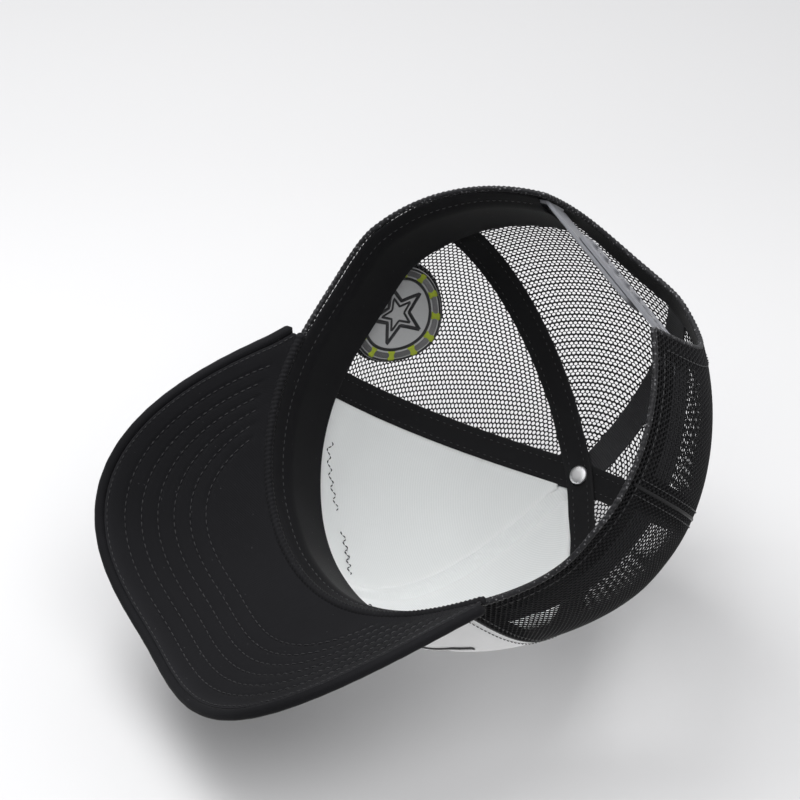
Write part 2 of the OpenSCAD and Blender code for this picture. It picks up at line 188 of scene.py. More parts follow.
def visor_outline(t):
    a = np.minimum(1, np.abs(t) / VISOR_SPLIT) * 90
    n = VISOR_SQUARE
    r = (sind(a) ** n + np.abs(cosd(a)) ** n) ** (-1 / n)
    x = VISOR_HALF_WIDTH * sind(a) * r
    y = -VISOR_SHOULDER - (RIM_HALF_LENGTH + VISOR_REACH - VISOR_SHOULDER) * cosd(a) * r
    end_x, end_y = opening(VISOR_END, 6)
    k = np.maximum(0, np.abs(t) - VISOR_SPLIT) / (1 - VISOR_SPLIT)
    x = np.where(k > 0, end_x + (VISOR_HALF_WIDTH - end_x) * cosd(90 * k), x)
    y = np.where(k > 0, mix(-VISOR_SHOULDER, end_y, sind(90 * k)), y)
    return np.stack([np.sign(t) * x, y], -1)


def visor_root(t, grow=RIM_CLEAR):
    return np.stack(opening(VISOR_END * np.asarray(t, float), grow), -1)


def visor_inset(t, d):
    edge = visor_outline(t)
    return edge + unit(visor_root(t) - edge) * np.asarray(d, float)[..., None]


def visor_depth(t):
    return np.linalg.norm(visor_outline(t) - visor_root(t), axis=-1)


def on_visor(p, out):
    x, y = p[..., 0], p[..., 1]
    up = unit(np.stack([x / VISOR_BEND, np.full_like(x, -VISOR_PITCH), np.ones_like(x)], -1))
    return np.stack([x, y, visor_z(x, y)], -1) + np.asarray(out, float)[..., None] * up


def visor_line(line, face=1, out=0.0):
    """A line on the visor, out from its middle on one face, and its up directions."""
    return on_visor(line, face * out), face * (on_visor(line, 1.0) - on_visor(line, 0.0))


def leant(p):
    c, s = math.cos(REST_TILT), math.sin(REST_TILT)
    return np.stack([p[..., 0], p[..., 1] * c + p[..., 2] * s, -p[..., 1] * s + p[..., 2] * c], -1)


spread = np.arange(0, 1.001, 0.01)
COVER_SPAN = float(spread[visor_depth(spread) > COVER_INSET + 0.5].max())
board_t = np.linspace(-COVER_SPAN, COVER_SPAN, 33)
board_v = np.linspace(0, 1, 9)[:, None, None]
board = mix(visor_root(board_t)[None], visor_inset(board_t, COVER_INSET)[None], board_v)
board_low = leant(np.concatenate([on_visor(board, -1.0), on_visor(board, 1.0)])).min((0, 1))
SHIFT = np.array(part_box("visor_board")[0]) * 1000 - board_low
SHIFT[0] = 0


def place(points):
    return (leant(np.asarray(points, float)) + SHIFT) / 1000


# ---- meshes -------------------------------------------------------------------------------
def linked(name, data, middle=None, toward=None):
    """A new object of the scene, moved to middle with its Z toward a direction."""
    obj = bpy.data.objects.new(name, data)
    bpy.context.scene.collection.objects.link(obj)
    if middle is not None:
        obj.location = middle
        obj.rotation_mode = "QUATERNION"
        obj.rotation_quaternion = toward.to_track_quat("Z", "Y")
    return obj


def add_mesh(name, points, faces, material, flat=None, edge=None, body="cap"):
    """A smooth mesh from points in the cap frame, with its flat pattern in millimetres.
    Its faces are turned to look outwards."""
    me = bpy.data.meshes.new(name)
    rows = faces.tolist() if isinstance(faces, np.ndarray) else faces
    me.from_pydata(place(points).tolist(), [], rows)
    solid = bmesh.new()
    solid.from_mesh(me)
    if solid.calc_volume(signed=True) < 0:
        me.flip_normals()
    solid.free()
    if flat is not None:
        loops = np.zeros(len(me.loops), np.int64)
        me.loops.foreach_get("vertex_index", loops)
        layer = me.uv_layers.new(name="cloth")
        layer.data.foreach_set("uv", np.asarray(flat, float)[loops].astype(np.float32).ravel())
    wear = me.attributes.new("wear", "FLOAT", "POINT")
    worn = np.zeros(len(me.vertices)) if edge is None else np.asarray(edge, float)
    wear.data.foreach_set("value", worn.astype(np.float32))
    me.polygons.foreach_set("use_smooth", np.ones(len(me.polygons), bool))
    me.materials.append(MATERIALS[material])
    obj = linked(name, me)
    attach(obj, body)
    return obj


def flat_pattern(grid):
    """Distances along the rows and the columns of a grid of points."""
    across = np.linalg.norm(np.diff(grid, axis=1), axis=-1)
    u = np.concatenate([np.zeros((len(grid), 1)), np.cumsum(across, 1)], 1)
    u -= u[:, -1:] / 2
    along = np.linalg.norm(np.diff(grid, axis=0), axis=-1)
    v = np.concatenate([np.zeros((1, grid.shape[1])), np.cumsum(along, 0)], 0)
    return np.stack([u, v], -1)


def grid_faces(rows, cols, first=0, flip=False):
    i, j = np.meshgrid(np.arange(rows - 1), np.arange(cols - 1), indexing="ij")
    a = (first + i * cols + j).ravel()
    quads = np.stack([a, a + cols, a + cols + 1, a + 1], 1)
    return quads[:, ::-1] if flip else quads


def grid_area(grid):
    d1 = grid[1:, 1:] - grid[:-1, :-1]
    d2 = grid[1:, :-1] - grid[:-1, 1:]
    return float(np.linalg.norm(np.cross(d1, d2), axis=-1).sum() / 2)


def tube_faces(rings, sides, first=0, capped=True):
    """Faces of a tube of rings of points. Its last ring meets its first unless it is capped."""
    i, j = np.meshgrid(np.arange(rings - 1 if capped else rings), np.arange(sides), indexing="ij")
    low, high, after = first + i * sides, first + (i + 1) % rings * sides, (j + 1) % sides
    faces = np.stack([low + j, low + after, high + after, high + j], -1).reshape(-1, 4).tolist()
    if capped:
        end = first + (rings - 1) * sides
        faces += [list(range(first, first + sides))[::-1], list(range(end, end + sides))]
    return faces


def shell(name, outer, inner, material, edge=None):
    """A closed shell between two grids of points."""
    rows, cols = outer.shape[:2]
    half = rows * cols
    ring = np.concatenate([
        np.arange(cols - 1),
        np.arange(rows - 1) * cols + cols - 1,
        (rows - 1) * cols + np.arange(cols - 1, 0, -1),
        np.arange(rows - 1, 0, -1) * cols,
    ])
    after = np.roll(ring, -1)
    walls = np.stack([ring, after, half + after, half + ring], 1)
    faces = np.concatenate([grid_faces(rows, cols), grid_faces(rows, cols, half, True), walls])
    flat = flat_pattern((outer + inner) / 2).reshape(-1, 2)
    worn = None if edge is None else np.tile(np.asarray(edge).ravel(), 2)
    points = np.concatenate([outer.reshape(-1, 3), inner.reshape(-1, 3)])
    return add_mesh(name, points, faces, material, np.tile(flat, (2, 1)), worn)


def steps_to(length, step, soft):
    """Places from 0 to length, closer together within soft of each end."""
    near = np.array([0, 0.06, 0.2, 0.45, 0.75]) * soft
    count = max(2, math.ceil((length - 2 * soft) / step) + 1)
    return np.concatenate([near, np.linspace(soft, length - soft, count), (length - near)[::-1]])


def rounded(distance, soft):
    """Share of a layer's thickness at a distance from its edge."""
    k = 1 - np.clip(distance / soft, 0, 1)
    return np.sqrt(np.maximum(1 - k * k, 0.015))


def waves(f, s, size, seed):
    """A gentle unevenness of cloth, the same for every layer that shares the seed."""
    a = np.radians(f)
    total = 0
    for k in range(1, 5):
        phase = seed * 1.7 + k * 2.1
        total = total + np.sin(a * (5 + 4 * k) + s * (7 - k) + phase) * np.cos(s * 5 * k + phase) / k
    return size * total / 2


def from_edges(flat, sides=(1, 1)):
    """Distance in a flat pattern from its side edges, if sides[0], and its ends, if sides[1]."""
    u, v = flat[..., 0], flat[..., 1]
    reach = np.full(u.shape, 99.0)
    if sides[0]:
        reach = np.minimum(reach, np.minimum(u - u[:, :1], u[:, -1:] - u))
    if sides[1]:
        reach = np.minimum(reach, np.minimum(v, v[-1:] - v))
    return reach


def layered(name, f, s, depth, half, reach, fade, material):
    """A shell round a depth of the crown, half its thickness each way, worn near its edges."""
    return shell(name, skin(f, s, depth + half), skin(f, s, depth - half), material,
                 np.exp(-reach / fade))


def crown_layer(name, f, s, inner, outer, soft, material, sides=(1, 1), uneven=0.0, seed=1):
    """A layer of cloth on the crown over grids f and s, with rounded edges."""
    reach = from_edges(flat_pattern(skin(f, s, (inner + outer) / 2)), sides)
    half = (outer - inner) / 2 * rounded(reach, soft)
    depth = (inner + outer) / 2 + waves(f, s, uneven, seed)
    return layered(name, f, s, depth, half, reach, 1.6, material)


def declare_grid(grid):
    """Measures the flat size of a grid of points; the size is not kept or used."""
    np.ptp(flat_pattern(grid), axis=(0, 1))


def along(path):
    """Distance along a line of points."""
    return np.concatenate([[0], np.cumsum(np.linalg.norm(np.diff(path, axis=0), axis=-1))])


def resampled(path, up, spacing):
    """The same line with even steps, and its up directions."""
    d = along(path)
    count = max(2, round(d[-1] / spacing) + 1)
    at = np.linspace(0, d[-1], count)
    new = np.stack([np.interp(at, d, path[:, k]) for k in range(3)], -1)
    ups = unit(np.stack([np.interp(at, d, up[:, k]) for k in range(3)], -1))
    return new, ups, at


def sweep(name, path, up, section, step, material, body="cap"):
    """A tube with closed ends: section(distance) gives each ring's points as (side, up) offsets."""
    path, up, at = resampled(path, up, step)
    tangent = unit(np.gradient(path, axis=0))
    side = unit(np.cross(tangent, up))
    up = np.cross(side, tangent)
    offset = section(at[:, None])
    sides, rings = offset.shape[1], len(path)
    points = path[:, None] + offset[..., :1] * side[:, None] + offset[..., 1:] * up[:, None]
    turn = np.linspace(0, 2 * np.pi * np.abs(offset).max(), sides, endpoint=False)
    flat = np.stack(np.broadcast_arrays(turn[None], at[:, None]), -1).reshape(-1, 2)
    faces = tube_faces(rings, sides)
    return add_mesh(name, points.reshape(-1, 3), faces, material, flat, body=body)


def round_section(radius, sides=10, flat=1.0, bump=0.0, pitch=1.0, twist=1):
    """A round cord's section; bump makes the lobes of a twisted or overlocked thread."""
    turn = np.linspace(0, 2 * np.pi, sides, endpoint=False)[None]

    def section(at):
        end = np.minimum(at, at[-1] - at)
        taper = np.sqrt(np.clip(1 - (1 - np.clip(end / radius, 0, 1)) ** 2, 0.02, 1))
        r = radius * taper * (1 + bump * np.cos(2 * np.pi * at / pitch + twist * turn))
        return np.stack([r * np.cos(turn), flat * r * np.sin(turn)], -1)

    return section


def dashes(name, rows, material, pitch, share=0.7, radius=0.22, lift=0.12):
    """Stitches: short threads along each row, a row being (line of points, up directions)."""
    sides, rings = 5, 5
    shape = np.linspace(0, 1, rings)
    turn = np.linspace(0, 2 * np.pi, sides, endpoint=False)
    points, faces, count = [], [], 0
    for path, up in rows:
        d = along(path)
        starts = np.arange(pitch * 0.15, d[-1] - pitch * share, pitch)
        at = starts[:, None] + shape * pitch * share

        def on_line(values):
            return np.stack([np.interp(at, d, values[:, k]) for k in range(3)], -1)

        centre, ups = on_line(path), unit(on_line(up))
        tangent = unit(centre[:, -1:] - centre[:, :1])
        side = np.cross(tangent, ups)
        arch = np.sin(np.pi * shape)
        centre = centre + ups * (lift * (2 * arch - 1))[None, :, None]
        r = radius * (0.45 + 0.55 * arch)[None, :, None, None]
        ring = side[:, :, None] * np.cos(turn)[:, None] + ups[:, :, None] * np.sin(turn)[:, None]
        block = centre[:, :, None] + r * ring
        points.append(block.reshape(-1, 3))
        for _ in starts:
            faces += tube_faces(rings, sides, count)
            count += rings * sides
    return add_mesh(name, np.concatenate(points), faces, material)


def lathe(name, base, profile, material, sides=64, wave=0.0, lobes=6):
    """A turned piece on the crown's own axis, from a profile of (radius, height)."""
    turn = np.linspace(0, 2 * np.pi, sides, endpoint=False)
    rows = []
    for r, z in profile:
        ripple = 1 + wave * np.cos(lobes * turn) * (r > 0)
        rows.append(np.stack([r * np.cos(turn) * ripple, r * np.sin(turn) * ripple,
                              np.full(sides, base + z)], -1))
    points = np.concatenate(rows)
    return add_mesh(name, points, tube_faces(len(rows), sides), material, points[:, :2])


def net(name, centre, limits, pitch, row_pitch, out, material, bars=0.0, sides_of=None, top=None):
    """A knitted mesh: staggered round holes in the part of the crown that limits() keeps.

    centre is the bearing of the panel's straight thread. Each cell is a six-sided ring round
    one hole, whose corners it shares with its neighbours."""
    s = np.linspace(0, 0.995, 400)
    climb = along(crown(centre, s))
    top_at = climb[-1] if top is None else float(np.interp(top, s, climb))
    half_turn = max(abs(f - centre) for f in sides_of)
    half_width = half_turn * turn_at(centre, 0.0) * 1.12
    rows = math.ceil(top_at / row_pitch) + 1
    cols = math.ceil(half_width / pitch) + 1
    i, j = np.meshgrid(np.arange(-cols, cols + 1), np.arange(0, rows), indexing="ij")
    cx, cy = (4 * i + 2 * (j % 2)).ravel(), (6 * j).ravel()
    around = np.array([(0, 4), (-1, 3), (-2, 2), (-2, 0), (-2, -2), (-1, -3), (0, -4), (1, -3),
                       (2, -2), (2, 0), (2, 2), (1, 3)])
    keys = np.stack([cx[:, None] + around[:, 0], cy[:, None] + around[:, 1]], -1)
    unique, shared = np.unique(keys.reshape(-1, 2), axis=0, return_inverse=True)
    shared = shared.reshape(keys.shape[:2])
    knots = unique * np.array([pitch / 4, row_pitch / 6])
    turn = np.arctan2(around[:, 1] * row_pitch / 6, around[:, 0] * pitch / 4)
    wide, high = pitch / 2 - STRAND, row_pitch * 2 / 3 - STRAND
    hole_x = cx[:, None] * pitch / 4 + wide * np.cos(turn)
    shift = bars * np.where(cy // 6 % 2 == 0, 1, -1)[:, None]
    hole_y = cy[:, None] * row_pitch / 6 + shift + (high - abs(bars) / 2) * np.sin(turn)
    flat = np.concatenate([knots, np.stack([hole_x, hole_y], -1).reshape(-1, 2)])
    at = np.interp(flat[:, 1], climb, s, left=-0.02)
    turned = turn_at(centre, np.clip(at, 0, TOP_END))
    f = centre + np.clip(flat[:, 0] / np.maximum(turned, 0.02), -2 * half_turn, 2 * half_turn)
    f, at, moved = limits(f, at)
    knot_count = len(knots)
    holes = (knot_count + np.arange(hole_x.size)).reshape(hole_x.shape)
    lost = moved[shared].all(1) & moved[holes].all(1)
    shared, holes = shared[~lost], holes[~lost]
    next_k, next_h = np.roll(shared, -1, 1), np.roll(holes, -1, 1)
    thick = np.where(moved, 0.04, STRAND_RISE)
    rise = np.concatenate([thick[:knot_count], np.zeros(len(at) - knot_count)])
    upper = skin(f, at, out + rise)
    lower = skin(f[:knot_count], at[:knot_count], out - rise[:knot_count])
    total = len(at)
    faces_up = np.stack([shared, next_k, next_h, holes], -1).reshape(-1, 4)
    under = np.where(moved[:knot_count], 0, total) + np.arange(knot_count)
    faces_down = np.stack([under[next_k], under[shared], holes, next_h], -1).reshape(-1, 4)
    gone = moved[shared] & moved[next_k] & moved[holes] & moved[next_h]
    kept = ~gone.reshape(-1)
    faces = np.concatenate([faces_up[kept], faces_down[kept]])
    used, faces = np.unique(faces, return_inverse=True)
    points = np.concatenate([upper, lower])[used]
    pattern = np.concatenate([flat, knots])[used]
    return add_mesh(name, points, faces.reshape(-1, 4), material, pattern)


# ---- materials ----------------------------------------------------------------------------
def node(tree, kind, sockets=None, **settings):
    made = tree.nodes.new("ShaderNode" + kind)
    for key, value in settings.items():
        setattr(made, key, value)
    for key, value in (sockets or {}).items():
        if isinstance(value, bpy.types.NodeSocket):
            tree.links.new(value, made.inputs[key])
        else:
            made.inputs[key].default_value = value
    return made


def new_material(name):
    """A material without nodes, and its node tree."""
    made = bpy.data.materials.new(name)
    made.use_nodes = True
    made.node_tree.nodes.clear()
    return made, made.node_tree


def ended(made, surface):
    """The material, with its surface linked to its output."""
    tree = made.node_tree
    tree.links.new(surface, node(tree, "OutputMaterial").inputs[0])
    return made


def calc(tree, operation, a, b=0.0):
    return node(tree, "Math", {0: a, 1: b}, operation=operation).outputs[0]


def plus(tree, base, value, scale):
    """base, and value times scale."""
    return calc(tree, "ADD", base, calc(tree, "MULTIPLY", value, scale))


def blend_colour(tree, share, a, b):
    return node(tree, "Mix", {0: share, 6: a, 7: b}, data_type="RGBA").outputs[2]


def grade(tree, value, low, high, to_low=0.0, to_high=1.0):
    made = node(tree, "MapRange", {0: value, 1: low, 2: high, 3: to_low, 4: to_high})
    made.interpolation_type = "SMOOTHSTEP"
    return made.outputs[0]


def flat_vector(tree, turn=0.0):
    """The cloth's own flat pattern, in millimetres, turned by an angle in degrees."""
    at = node(tree, "UVMap", uv_map="cloth").outputs[0]
    return node(tree, "Mapping", {0: at, 2: (0, 0, math.radians(turn))}).outputs[0]


def solid_vector(tree):
    """Millimetres in the row frame."""
    at = node(tree, "TexCoord").outputs["Object"]
    return node(tree, "Mapping", {0: at, 3: (1000, 1000, 1000)}).outputs[0]


def bands(tree, vector, pitch, distortion=0.0):
    """Even bands across a vector's X, pitch apart."""
    made = node(tree, "TexWave", {0: vector, 1: 0.31416 / pitch, 2: distortion, 3: 1.0})
    made.wave_type, made.bands_direction = "BANDS", "X"
    return made.outputs[1]


def clouds(tree, vector, size, detail=3.0):
    return node(tree, "TexNoise", {0: vector, 2: 1 / size, 3: detail}).outputs[0]


def weave_height(tree, weave, pitch):
    """Height, from 0 to 1, of the threads of a kind of cloth."""
    if weave == "twill":
        ridge = bands(tree, flat_vector(tree, 58), pitch, 0.4)
        cross = bands(tree, flat_vector(tree, -20), pitch * 0.8)
        return plus(tree, calc(tree, "MULTIPLY", ridge, 0.7), cross, 0.3)
    if weave == "plain":
        warp = bands(tree, flat_vector(tree), pitch)
        weft = bands(tree, flat_vector(tree, 90), pitch)
        return calc(tree, "MAXIMUM", warp, weft)
    if weave == "rib":
        rib = bands(tree, flat_vector(tree, 90), pitch)
        thread = bands(tree, flat_vector(tree), pitch * 0.45)
        return plus(tree, calc(tree, "MULTIPLY", rib, 0.8), thread, 0.2)
    if weave == "satin":
        return bands(tree, flat_vector(tree, 90), pitch, 1.2)
    return clouds(tree, solid_vector(tree), pitch)


def fabric(name, dark, light, weave, pitch, roughness=0.8, bump=0.5, depth=0.00008, sheen=0.05,
           lint=0.0, specular=0.13, through=0.0, cell=4.5, dot=0.05):
    """Cloth: threads at their pitch, an uneven dye, paler worn edges and a little lint. The thread
    tops are painted lighter and the dips between threads darker, as painted highlight and painted
    shade.
    """
    made, tree = new_material(name)
    height = weave_height(tree, weave, pitch)
    solid = solid_vector(tree)
    fine = clouds(tree, solid, 0.6)
    uneven = clouds(tree, solid, 22)
    # The weave height lightens the thread tops and darkens the dips between threads (painted
    # highlight and painted shade); the noise gives an uneven dye.
    share = plus(tree, calc(tree, "MULTIPLY", height, 0.45), calc(tree, "ADD", fine, uneven), 0.27)
    colour = blend_colour(tree, share, (*dark, 1), (*light, 1))
    worn = node(tree, "Attribute", attribute_name="wear").outputs["Fac"]
    rubbed = calc(tree, "MULTIPLY", calc(tree, "MULTIPLY", worn, fine), 0.5)
    pale = tuple(min(1, c * 1.25 + 0.01) for c in light)
    colour = blend_colour(tree, rubbed, colour, (*pale, 1))
    if lint:
        cells = node(tree, "TexVoronoi", {0: solid, 2: 1 / cell}).outputs["Distance"]
        speck = grade(tree, cells, dot * 0.4, dot, lint, 0.0)
        colour = blend_colour(tree, speck, colour, (0.2, 0.2, 0.21, 1))
    relief = plus(tree, height, fine, 0.5)
    normal = node(tree, "Bump", {"Strength": bump, "Distance": depth, "Height": relief})
    rough = plus(tree, roughness - 0.06, fine, 0.12)
    shader = node(tree, "BsdfPrincipled", {
        "Base Color": colour, "Roughness": rough, "Normal": normal.outputs[0],
        "Specular IOR Level": specular, "Sheen Weight": sheen, "Sheen Roughness": 0.4})
    surface = shader.outputs[0]
    if through:
        light_through = node(tree, "BsdfTranslucent", {0: colour, 1: normal.outputs[0]})
        surface = node(tree, "MixShader", {0: through, 1: surface,
                                           2: light_through.outputs[0]}).outputs[0]
    return ended(made, surface)


def metal(name, colour, roughness):
    """Pressed metal with fine scratches and dulled patches."""
    made, tree = new_material(name)
    solid = solid_vector(tree)
    stretched = node(tree, "Mapping", {0: solid, 3: (0.4, 6, 1)}).outputs[0]
    scratch = clouds(tree, stretched, 0.8, 6.0)
    dull = clouds(tree, solid, 2.5)
    rough = plus(tree, roughness, dull, roughness)
    normal = node(tree, "Bump", {"Strength": 0.12, "Distance": 0.00005, "Height": scratch})
    tone = blend_colour(tree, dull, (*colour, 1), (*(c * 0.86 for c in colour), 1))
    shader = node(tree, "BsdfPrincipled", {"Base Color": tone, "Metallic": 1.0,
                                           "Roughness": rough, "Normal": normal.outputs[0]})
    return ended(made, shader.outputs[0])


def plastic(name, colour, clear, roughness=0.22):
    """Smoky moulded plastic that lets some light through, with flow marks and fine scuffs."""
    made, tree = new_material(name)
    solid = solid_vector(tree)
    flow = clouds(tree, node(tree, "Mapping", {0: solid, 3: (0.2, 1, 1)}).outputs[0], 5)
    scuff = clouds(tree, solid, 0.5, 6.0)
    tone = blend_colour(tree, flow, (*colour, 1), (*(c * 0.8 for c in colour), 1))
    rough = plus(tree, roughness, scuff, 0.2)
    normal = node(tree, "Bump", {"Strength": 0.15, "Distance": 0.00008, "Height": scuff})
    shader = node(tree, "BsdfPrincipled", {
        "Base Color": tone, "Roughness": rough, "Normal": normal.outputs[0], "IOR": 1.49,
        "Transmission Weight": clear, "Coat Weight": 0.2})
    return ended(made, shader.outputs[0])


# BLACK_LIT is the black cloth's tone on its thread tops, a painted highlight; BLACK is the tone in
# the painted shade between threads.
BLACK, BLACK_LIT = (0.0022, 0.0022, 0.0027), (0.0075, 0.0075, 0.0087)
MATERIALS = {
    "twill": fabric("black_twill", BLACK, BLACK_LIT, "twill", 0.75, lint=0.35),
    "visor_twill": fabric("visor_twill", BLACK, (0.009, 0.009, 0.011), "twill", 0.75, lint=0.5),
    "tape": fabric("seam_tape_cloth", BLACK, (0.011, 0.011, 0.012), "plain", 0.5, lint=0.15),
    "ribbed_tape": fabric("ribbed_tape_cloth", BLACK, (0.022, 0.022, 0.025), "rib", 1.0,
                          roughness=0.6, bump=0.8, depth=0.00015, specular=0.35),
    "yarn": fabric("mesh_yarn", (0.0025, 0.0025, 0.003), (0.008, 0.008, 0.0095), "yarn", 0.25,
                   roughness=0.55, specular=0.18, sheen=0.02),
    "folded_yarn": fabric("folded_mesh_yarn", (0.004, 0.004, 0.005), (0.013, 0.013, 0.015),
                          "yarn", 0.25, roughness=0.55, specular=0.25, lint=0.6, cell=1.5,
                          dot=0.34),
    "white_cloth": fabric("white_front_cloth", (0.78, 0.78, 0.79), (0.9, 0.9, 0.91), "plain",
                          0.45, roughness=0.85, sheen=0.3, through=0.12),
    "lining": fabric("white_lining_knit", (0.74, 0.76, 0.76), (0.87, 0.885, 0.885), "rib", 1.1,
                     roughness=0.9, bump=0.35, depth=0.00012, sheen=0.3, through=0.1),
    "interlining": fabric("interlining_cloth", (0.02, 0.02, 0.022), (0.06, 0.06, 0.065),
                          "plain", 0.8),
    "board": fabric("visor_board_pulp", (0.03, 0.03, 0.034), (0.07, 0.07, 0.075), "pulp", 1.5),
    "thread": fabric("black_thread", (0.008, 0.008, 0.009), (0.028, 0.028, 0.031), "yarn", 0.15,
                     roughness=0.45, specular=0.5),
    "dark_thread": fabric("black_overlock", BLACK, (0.014, 0.014, 0.016), "yarn", 0.3),
    "pale_thread": fabric("white_thread", (0.68, 0.69, 0.7), (0.88, 0.88, 0.89), "yarn", 0.15,
                          roughness=0.6),
    "green_thread": fabric("green_thread", (0.26, 0.34, 0.02), (0.5, 0.58, 0.07), "satin", 0.35,
                           roughness=0.5, bump=0.8, depth=0.00015),
    "satin": fabric("black_satin_stitch", (0.008, 0.008, 0.009), (0.045, 0.045, 0.05), "satin",
                    0.4, roughness=0.4, bump=0.9, depth=0.00015, specular=0.5),
    "grey_satin": fabric("grey_satin_stitch", (0.1, 0.1, 0.105), (0.24, 0.24, 0.25), "satin",
                         0.4, roughness=0.5, bump=0.9, depth=0.00015, specular=0.5),
    "patch": fabric("grey_patch_cloth", (0.13, 0.135, 0.14), (0.24, 0.245, 0.25), "twill", 0.8),
    "backing": fabric("patch_backing_felt", (0.33, 0.333, 0.338), (0.46, 0.463, 0.468),
                      "felt", 0.35, roughness=0.95),
    "steel": metal("rivet_steel", (0.95, 0.95, 0.96), 0.26),
    "tin": metal("button_tin", (0.6, 0.6, 0.61), 0.25),
    "smoke": plastic("smoky_plastic", (0.27, 0.275, 0.3), 0.4),
    # A darker copy of the smoky strap plastic for the peg hollows: painted shade.
    "painted_shade_smoke": plastic("shadowed_plastic", (0.05, 0.05, 0.055), 0.1, 0.35),
}


def finish_node(name, material):
    """Gives a CAD node that stays its material."""
    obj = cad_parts[name]
    obj.data.materials.clear()
    obj.data.materials.append(MATERIALS[material])


# ---- crown: mesh panels and front panels ---------------------------------------------------
def panel_limits(f0, f1, low=None, high=None):
    """Keeps a net within two bearings and two heights, and out of the rear arch."""
    def limits(f, s):
        kept_f = np.clip(f, f0, f1)
        bottom = 0.0 if low is None else s_at(kept_f, low)
        top = TOP_END if high is None else s_at(kept_f, high)
        kept_s = np.clip(s, bottom, top)
        across = np.abs(180 - np.abs(kept_f)) / ARCH_HALF
        up = kept_s / s_at(180.0, ARCH_HEIGHT)
        reach = (across ** ARCH_BOX + np.maximum(up, 1e-6) ** ARCH_BOX) ** (1 / ARCH_BOX)
        inside = reach < 1
        side = np.sign(kept_f)
        arched_f = side * (180 - across / reach * ARCH_HALF)
        kept_s = np.where(inside, kept_s / reach, kept_s)
        kept_f = np.where(inside, arched_f, kept_f)
        moved = (kept_f != f) | (kept_s != s)
        return kept_f, kept_s, moved
    return limits


def panel_area(limits, f0, f1):
    f, s = np.meshgrid(np.linspace(f0, f1, 60), np.linspace(0, TOP_END, 80))
    f, s, _ = limits(f, s)
    return grid_area(crown(f, s))


for side, word in SIDES:
    for kind, first, last, bars in (("side", FRONT_SEAM, BACK_SEAM, 0.0),
                                    ("back", BACK_SEAM, 180, 0.14)):
        ends = sorted((side * (first + SEAM_GAP), side * (last - SEAM_GAP)))
        middle = sum(ends) / 2
        limits = panel_limits(*ends)
        panel = net(f"mesh_panel_{kind}_{word}", middle, limits, MESH_PITCH, MESH_ROW, 0.4,
                    "yarn", bars, ends)
        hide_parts(f"{kind}_mesh_{word}")
        area = panel_area(limits, *ends)
        wide = (ends[1] - ends[0]) * turn_at(middle, 0.1)
    ends = sorted((side * (FRONT_SEAM + SEAM_GAP), side * (180 - ARCH_HALF - 6.2)))
    hem = net(f"mesh_hem_{word}", sum(ends) / 2, panel_limits(*ends, 2.0, HEM_HEIGHT), MESH_PITCH,
              MESH_ROW, -1.0, "yarn", 0.0, ends, 0.35)
    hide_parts(f"rim_hem_{word}")

for side, word in SIDES:
    turn = steps_to(FRONT_SEAM - 0.2, 1.0, 1.4)
    share = FRONT_CLOTH_LOW + steps_to(TOP_END - FRONT_CLOTH_LOW, 0.014, 0.02)
    f, s = np.meshgrid(side * (0.1 + turn[::side]), share)
    near = np.minimum(turn, turn[-1] - turn)[::side] * turn_at(side * 30.0, s)
    valley = -0.5 * np.exp(-near / 2.2)
    swell = waves(f, s, 0.25, 3)
    middle = skin(f, s, CLOTH / 2)
    reach = np.minimum(near, from_edges(flat_pattern(middle), (0, 1)))
    panel = layered(f"front_cloth_{word}", f, s, CLOTH / 2 + valley + swell,
                    CLOTH / 2 * rounded(reach, 0.9), reach, 1.5, "white_cloth")
    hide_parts(f"front_panel_{word}")
    declare_grid(middle)

# ---- crown: foam linings, ridge, tapes -----------------------------------------------------
for side, word in SIDES:
    share = steps_to(1, 0.022, 0.03)[:, None]
    s = mix(float(s_at(30.0, LINING_LOW)), LINING_END, share)
    inside_edge = (RIDGE_HALF + 0.2) / turn_at(0.0, s)
    outside_edge = FRONT_SEAM - (TAPE_HALF - 0.6) / turn_at(float(FRONT_SEAM), s)
    across = steps_to(1, 0.022, 0.03)[None]
    across = across if side > 0 else 1 - across[:, ::-1]
    f = side * mix(inside_edge, outside_edge, across)
    s = np.broadcast_to(s, f.shape)
    lining = crown_layer(f"foam_lining_{word}", f, s, -LINING_DEPTH, -LAYER_GAP, 1.5, "lining",
                         uneven=0.22, seed=5)
    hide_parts(f"front_lining_{word}")


def strip(name, path, up, half_width, inner, outer, material, soft=0.7, sag=TAPE_SAG, crease=0.0):
    """A flexible strip along a line; inner and outer are its depths below the line."""
    ends = np.minimum(along(path), along(path)[-1] - along(path))
    across = np.concatenate([[-1, -0.985, -0.93], np.linspace(-0.86, 0.86, 11), [0.93, 0.985, 1]])
    tangent = unit(np.gradient(path, axis=0))
    side = unit(np.cross(up, tangent))
    reach = np.minimum((1 - np.abs(across))[None] * half_width, ends[:, None] + 0.02)
    inner, outer = (np.broadcast_to(d, len(path))[:, None] for d in (inner, outer))
    middle, half = (inner + outer) / 2, (inner - outer) / 2 * rounded(reach, soft)
    ripple = crease * np.sin(along(path)[:, None] / 2.3 + 3 * across) * np.cos(across * 5)
    depth = middle + ripple + np.abs(across) * sag
    base = path[:, None] + across[:, None] * half_width * side[:, None]
    lift = up[:, None]
    return shell(name, base - (depth - half)[..., None] * lift,
                 base - (depth + half)[..., None] * lift, material, np.exp(-reach / 1.2))


def edge_rows(path, up, offset, depth):
    """A line beside a path on one of its strip's faces, for a row of stitches."""
    side = unit(np.cross(up, unit(np.gradient(path, axis=0))))
    return path + offset * side - np.broadcast_to(depth, len(path))[:, None] * up, -up


